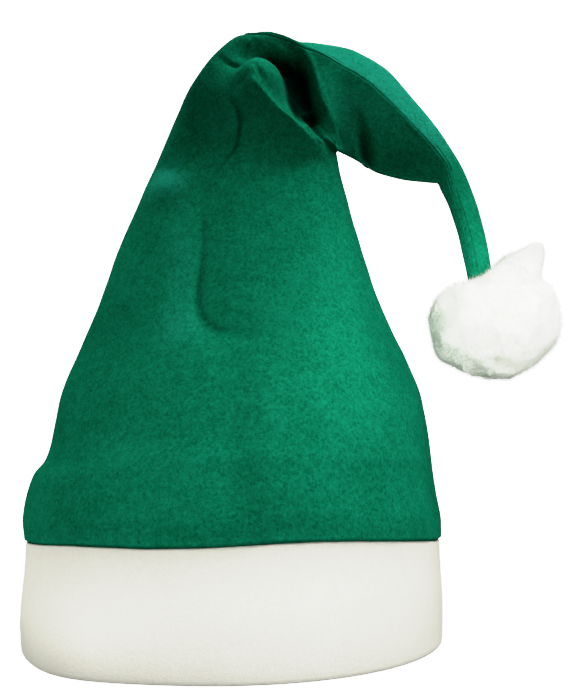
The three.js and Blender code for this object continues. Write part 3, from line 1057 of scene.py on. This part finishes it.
@dataclass
class Band:
    """The strip of white felt, folded double along the foot, that holds the crown's edge."""

    rim: Rim = Rim()
    felt: float = 1.5
    pinch: float = 0.5  # how far its top edge is drawn in by the stitching
    pinched: Pair = (0.55, 1.0)  # shares of its height where that starts and ends
    swell: float = 0.4  # how far it bulges
    swell_ends: float = 1.4  # the bulge ends at its height divided by this
    waves: tuple[Triple, ...] = ((0.5, 40.0, 5.3), (0.25, 14.0, 1.7))
    waves_grow: Pair = (1.0, 12.0)  # heights where it gets uneven, and is as uneven as it gets
    flare: float = 9.0  # how far its foot stands out to the front, on the left
    flare_turn: float = 0.8
    flare_width: float = 0.4  # in radians
    flare_ends: Pair = (2.0, 32.0)  # heights where the flare is still full, and is gone
    foot: Pair = (0.9, 2.4)  # the flat that it stands on, in from the outside
    foot_round: Pair = (0.2, 0.6)  # how far the foot's edges are rounded, across and up
    foot_tops: Pair = (1.8, 2.0)  # heights of the straight outside and inside over the foot
    layers: float = 3.2  # both layers, where nothing lies between them
    slot: float = 6.2  # both layers with the crown's edge between them
    inner_edge: tuple[Pair, ...] = ((-0.5, 0.4), (0.0, 1.6))  # across, and down from the top
    outer_edge: tuple[Pair, ...] = ((0.1, 0.6), (0.5, 0.1))
    tuck: float = 12.0  # height of the part that holds the crown's edge
    tuck_run: float = 8.0  # height over which the layers close below it
    inner_rows: tuple[int, int] = (4, 8)  # of the part that holds the edge, and below it
    outer_rows: int = 18
    outer_top: float = 1.2  # from the straight outside up to the top edge
    around: int = 240
    joint_turn: float = -0.5  # where the strip's ends are sewn together, behind the left side
    joint_depth: float = 0.6
    joint_width: float = 2.2
    flat_size: Pair = (581.0, 96.0)

    def section(self, turn: np.ndarray) -> tuple[np.ndarray, np.ndarray]:
        """Draws the strip's outside from its inner edge, round the foot, to its outer edge.

        Args:
            turn: Angles round the rim.

        Returns:
            Distances in from the outside of the rim, and heights, a row for each point.
        """
        top = self.rim.top(turn)
        outside, inside = self.foot_tops
        beside, below = self.inner_rows
        closed = top - self.tuck - self.tuck_run
        inner = [(self.slot + across, top - down) for across, down in self.inner_edge]
        inner += [(self.slot, top - self.tuck * k / beside) for k in range(1, beside + 1)]
        inner += [(self.layers, closed + (inside - closed) * k / below) for k in range(below + 1)]
        across, up = self.foot_round
        flat_out, flat_in = self.foot
        fold = [(self.layers - across, up), (flat_in, 0.0), (flat_out, 0.0), (across, up)]
        outer = []
        for share in np.arange(self.outer_rows + 1) / self.outer_rows:
            bulge = self.swell * math.sin(math.pi * min(1, share * self.swell_ends))
            drawn = self.pinch * float(smoothstep(share, *self.pinched))
            outer.append((drawn - bulge, outside + (top - self.outer_top - outside) * share))
        outer += [(self.pinch + across, top - down) for across, down in self.outer_edge]
        path = [*inner, *fold, *outer]
        inward = np.array([np.broadcast_to(d, turn.shape) for d, _ in path])
        return inward, np.array([np.broadcast_to(z, turn.shape) for _, z in path])

    def build(self, frame: HatFrame) -> list[bpy.types.Object]:
        """Builds the band.

        Args:
            frame: The hat's place in the part.

        Returns:
            The band alone, with its finish.
        """
        turn = self.joint_turn + np.linspace(0, FULL_TURN, self.around + 1)
        inward, height = self.section(turn)
        points = self.rim.point(turn, inward, height)
        above = smoothstep(height, *self.waves_grow)
        inward = inward - uneven(points, self.waves) * above
        joint = np.minimum(turn - turn[0], turn[-1] - turn) * self.rim.half_width
        inward = inward + self.joint_depth * (1 - smoothstep(joint, 0, self.joint_width)) * above
        points = self.rim.point(turn, inward, height)
        flared = np.exp(-(((turn - self.flare_turn) / self.flare_width) ** 2))
        points[..., 1] -= self.flare * flared * (1 - smoothstep(height, *self.flare_ends))
        piece = felt_sheet("felt_band", frame.place(points))
        make_active(piece)
        bpy.ops.object.mode_set(mode="EDIT")
        bpy.ops.mesh.select_all(action="SELECT")
        bpy.ops.mesh.remove_doubles(threshold=WELD * MM)
        bpy.ops.object.mode_set(mode="OBJECT")
        thicken(piece, self.felt)
        dress(piece, WHITE)
        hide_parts("band")
        return [piece]


@dataclass
class Pompom:
    """The ball of fluff round the tip of the tail, with a tuft that stands up."""

    centre: Triple = (117.0, -12.0, 140.8)
    half_size: Triple = (29.4, 28.2, 25.4)
    tufts: tuple[tuple[float, float, float, float], ...] = (
        (125.5, -12.0, 170.0, 0.3), (140.0, -12.0, 177.5, 0.2),
    )  # the tip of each, and its spread in radians
    tail_goes_in: Triple = (104.0, -11.0, 165.0)
    flattened: float = 11.0  # how far it gives way to the tail
    flat_spread: float = 0.5  # in radians
    lumps: tuple[Triple, ...] = ((2.4, 14.0, 38.8), (1.4, 7.0, 31.8), (0.7, 3.2, 28.0))  # waves
    lump_radius: float = 28.0  # of the ball that the lumps' pattern is read on
    fineness: int = 7
    fibres: int = 19000
    fibre_length: Pair = (1.0, 2.8)
    fibre_radius: float = 0.06
    rooted: float = 0.6  # how deep a fibre starts in the ball
    lean: float = 0.55  # how far its aim wanders from straight out
    curl: float = 0.35  # how far its tip wanders from that aim
    curled: float = 0.4  # share of that wandering
    knee: float = 0.5  # where it bends, as a share of its length
    taper: float = 0.8  # share of its radius there
    askew: Triple = (0.3, 0.5, 0.2)  # turns its sides away from its aim
    seed: int = 7

    def near_tufts(self, outward: np.ndarray) -> list[tuple[float, np.ndarray]]:
        """Finds which of the fluff stands up in a tuft.

        Args:
            outward: Unit directions from the middle.

        Returns:
            For each tuft its reach from the middle, and how much each direction belongs to it.
        """
        found = []
        for *tip, spread in self.tufts:
            to_tip = np.array(tip) - np.array(self.centre)
            tall = float(np.linalg.norm(to_tip))
            apart = np.arccos(np.clip(outward @ to_tip / tall, -1, 1))
            found.append((tall, np.exp(-((apart / spread) ** 2))))
        return found

    def radius(self, outward: np.ndarray) -> np.ndarray:
        """How far the fluff reaches.

        Args:
            outward: Unit directions from the middle.

        Returns:
            The distance from the middle in each direction.
        """
        ball = 1 / np.linalg.norm(outward / np.array(self.half_size), axis=-1)
        to_tail = np.array(self.tail_goes_in) - np.array(self.centre)
        beside = np.arccos(np.clip(outward @ to_tail / np.linalg.norm(to_tail), -1, 1))
        reach = ball - self.flattened * np.exp(-((beside / self.flat_spread) ** 2))
        for tall, near in self.near_tufts(outward):
            reach = reach + (tall - reach) * near
        return reach + uneven(outward * self.lump_radius, self.lumps)

    def core(self, frame: HatFrame) -> bpy.types.Object:
        """Builds the ball with its lumps and its tuft, and marks painted shade on the tuft.

        Args:
            frame: The hat's place in the part.

        Returns:
            The ball.
        """
        bpy.ops.object.select_all(action="DESELECT")
        bpy.ops.mesh.primitive_ico_sphere_add(subdivisions=self.fineness, radius=1)
        piece = bpy.context.object
        piece.name = "fluff_pompom"
        outward = np.empty(len(piece.data.vertices) * 3, np.float32)
        piece.data.vertices.foreach_get("co", outward)
        outward = outward.reshape(-1, 3).astype(float)
        outward /= np.linalg.norm(outward, axis=1, keepdims=True)
        points = outward * self.radius(outward)[:, None] + np.array(self.centre)
        piece.data.vertices.foreach_set("co", frame.place(points).astype(np.float32).ravel())
        piece.data.update()
        # Painted shade on the tufts.
        mark_painted_light(piece, np.max([near for _, near in self.near_tufts(outward)], axis=0))
        make_active(piece)
        bpy.ops.object.shade_smooth()
        return piece

    def fuzz(self, core: bpy.types.Object) -> bpy.types.Object:
        """Covers the ball with bent fibres, each a closed three-sided spike.

        Args:
            core: The ball.

        Returns:
            The fibres, joined in one mesh.
        """
        chance = np.random.default_rng(self.seed)
        count = len(core.data.vertices)
        place, normal = np.empty(count * 3, np.float32), np.empty(count * 3, np.float32)
        core.data.vertices.foreach_get("co", place)
        core.data.vertex_normals.foreach_get("vector", normal)
        tuft_shade_share = np.empty(count, np.float32)
        core.data.attributes[PAINTED_LIGHT_ATTRIBUTE].data.foreach_get("value", tuft_shade_share)
        chosen = chance.choice(count, self.fibres, replace=False)
        root = place.reshape(-1, 3)[chosen] / MM
        normal = normal.reshape(-1, 3)[chosen]
        aim = normal + chance.normal(0, self.lean, (self.fibres, 3))
        aim /= np.linalg.norm(aim, axis=1, keepdims=True)
        curl = chance.normal(0, self.curl, (self.fibres, 3))
        long = chance.uniform(*self.fibre_length, (self.fibres, 1))
        side = np.cross(aim, normal + np.array(self.askew))
        side /= np.linalg.norm(side, axis=1, keepdims=True)
        other = np.cross(aim, side)
        corners = [k * FULL_TURN / 3 for k in range(3)]
        ring = [self.fibre_radius * (math.cos(a) * side + math.sin(a) * other) for a in corners]
        foot = [root - self.rooted * normal + r for r in ring]
        knee = [root + self.knee * long * aim + self.taper * r for r in ring]
        tip = root + long * (aim + self.curled * curl)
        spikes = np.stack([*foot, *knee, tip], axis=1)
        first = (np.arange(self.fibres) * spikes.shape[1])[:, None]
        quads = [first + np.array(q) for q in ((0, 1, 4, 3), (1, 2, 5, 4), (2, 0, 3, 5))]
        tips = [first + np.array(t) for t in ((3, 4, 6), (4, 5, 6), (5, 3, 6), (0, 2, 1))]
        faces = [f for group in (*quads, *tips) for f in group.tolist()]
        mesh = bpy.data.meshes.new("fluff_fibres")
        mesh.from_pydata((spikes.reshape(-1, 3) * MM).tolist(), [], faces)
        mesh.update()
        piece = bpy.data.objects.new("fluff_fibres", mesh)
        # The fibres carry the painted shade of the tuft where they grow.
        mark_painted_light(piece, np.repeat(tuft_shade_share[chosen], spikes.shape[1]))
        bpy.context.scene.collection.objects.link(piece)
        return piece

    def build(self, frame: HatFrame) -> list[bpy.types.Object]:
        """Builds the pompom.

        Args:
            frame: The hat's place in the part.

        Returns:
            The ball and its fibres, with their finish.
        """
        core = self.core(frame)
        fibres = self.fuzz(core)
        dress(core, FLUFF)
        dress(fibres, FLUFF)
        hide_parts("pompom")
        return [core, fibres]


@dataclass(frozen=True)
class Softbox:
    """A soft light that is aimed at a point of the hat.

    Attributes:
        at: Its place, in millimetres.
        aim: The point that it faces.
        power: Its power, in watts.
        width: Its width, in metres.
        height: Its height, in metres.
        spread: The angle that its grid lets through, in degrees.
    """

    at: Triple
    aim: Triple
    power: float
    width: float
    height: float
    spread: float = 180.0

    def hang(self, frame: HatFrame) -> None:
        """Hangs the light in its place.

        Args:
            frame: The hat's place in the part.
        """
        place = Vector(frame.place(self.at))
        aim = Vector(frame.place(self.aim)) - place
        turn = aim.to_track_quat("-Z", "Y").to_euler()
        bpy.ops.object.light_add(type="AREA", location=place, rotation=turn)
        lamp = bpy.context.object
        lamp.visible_camera = False
        lamp.data.shape = "RECTANGLE"
        lamp.data.energy = self.power
        lamp.data.size = self.width
        lamp.data.size_y = self.height
        lamp.data.spread = math.radians(self.spread)


@dataclass
class Studio:
    """A plain white floor and room, soft light and the photograph's camera."""

    camera_at: Triple = (25.5, -430.0, 85.6)
    camera_pitch: float = 5.74  # degrees up
    lens: float = 47.75
    sensor: float = 36.0
    nearest: float = 0.01  # what the camera sees starts here, in metres
    ambient: Colour = (0.43, 0.43, 0.37, 1.0)
    backdrop: float = 2.8  # brightness of the background, for the camera alone
    floor_size: float = 40.0  # in metres
    floor_colour: Colour = (0.12, 0.12, 0.12, 1.0)
    floor_glow: float = 2.8  # for the camera alone
    key: Softbox = Softbox((420.0, -260.0, 1330.0), (0.0, 0.0, 130.0), 24.0, 0.9, 0.9)
    band_light: Softbox = Softbox((-200.0, -560.0, 26.0), (0.0, 0.0, 27.0), 0.11, 1.1, 0.03, 10.0)
    low_light: Softbox = Softbox((30.0, -560.0, 20.0), (104.0, -14.0, 128.0), 0.085, 0.12, 0.12, 8.0)
    side_light: Softbox = Softbox((850.0, -680.0, 90.0), (40.0, -40.0, 5.0), 0.27, 0.5, 0.4, 20.0)
    rim_light: Softbox = Softbox((-700.0, 100.0, 80.0), (-60.0, 0.0, 90.0), 0.2, 0.4, 0.3, 30.0)
    tones: tuple[Pair, ...] = (
        (0.0, 0.0), (0.15, 0.15), (0.3, 0.3), (0.6, 0.61), (0.8, 0.77), (1.0, 0.84), (1.5, 0.91),
        (2.0, 0.96), (2.4, 1.0),
    )  # shown brightness for the light that arrives, which spares the whites

    def add_camera(self, frame: HatFrame) -> None:
        """Sets the camera at the photograph's angle.

        Args:
            frame: The hat's place in the part.
        """
        bpy.ops.object.camera_add(
            location=frame.place(self.camera_at),
            rotation=(math.radians(90 + self.camera_pitch), 0, 0),
        )
        camera = bpy.context.object
        camera.data.lens = self.lens
        camera.data.sensor_width = self.sensor
        camera.data.clip_start = self.nearest
        bpy.context.scene.camera = camera

    def add_floor(self) -> None:
        """Lays the floor, which shows as plain white to the camera."""
        bpy.ops.mesh.primitive_plane_add(size=self.floor_size)
        floor = bpy.context.object
        floor.name = "floor"
        material, nodes = new_material("pale_floor")
        matte = nodes.add("ShaderNodeBsdfDiffuse", None, {"Color": self.floor_colour})[0]
        glow = nodes.add("ShaderNodeEmission", None, {"Strength": self.floor_glow})[0]
        bright = nodes.add("ShaderNodeAddShader", None, {0: matte, 1: glow})[0]
        seen = nodes.add("ShaderNodeLightPath")[0]
        surface = nodes.add("ShaderNodeMixShader", None, {0: seen, 1: matte, 2: bright})[0]
        nodes.add("ShaderNodeOutputMaterial", None, {"Surface": surface})
        floor.data.materials.append(material)

    def add_room(self) -> None:
        """Surrounds the hat with even light and a white background."""
        world = bpy.data.worlds.new("room")
        world.use_nodes = True
        bpy.context.scene.world = world
        nodes = Nodes(world.node_tree)
        seen = nodes.add("ShaderNodeLightPath")[0]
        white = (1.0, 1.0, 1.0, 1.0)
        soft = nodes.add("ShaderNodeBackground", None, {"Color": self.ambient})[0]
        plain = nodes.add("ShaderNodeBackground", None, {"Color": white, "Strength": self.backdrop})[0]
        mixed = nodes.add("ShaderNodeMixShader", None, {0: seen, 1: soft, 2: plain})[0]
        nodes.add("ShaderNodeOutputWorld", None, {"Surface": mixed})

    def set_tones(self) -> None:
        """Gives the picture the tone curve of a bright product photograph."""
        view = bpy.context.scene.view_settings
        view.view_transform = "Standard"
        view.use_curve_mapping = True
        brightest = self.tones[-1][0]
        mapping = view.curve_mapping
        mapping.white_level = (brightest, brightest, brightest)
        *_, all_colours = mapping.curves
        for light, shown in self.tones[1:-1]:
            all_colours.points.new(light / brightest, shown)
        mapping.update()

    def build(self, frame: HatFrame) -> None:
        """Sets up the studio.

        Args:
            frame: The hat's place in the part.
        """
        self.add_camera(frame)
        self.add_floor()
        self.add_room()
        self.set_tones()
        for lamp in (self.key, self.band_light, self.low_light, self.side_light, self.rim_light):
            lamp.hang(frame)


def main() -> None:
    """Builds the hat's pieces and its studio."""
    logging.basicConfig(level=logging.INFO, format="%(name)s %(message)s")
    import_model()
    frame = HatFrame()
    Studio().build(frame)
    for part in (Crown(), Band(), Pompom()):
        for piece in part.build(frame):
            LOG.info("%s: %d faces", piece.name, len(piece.data.polygons))


if __name__ == "__main__":
    main()
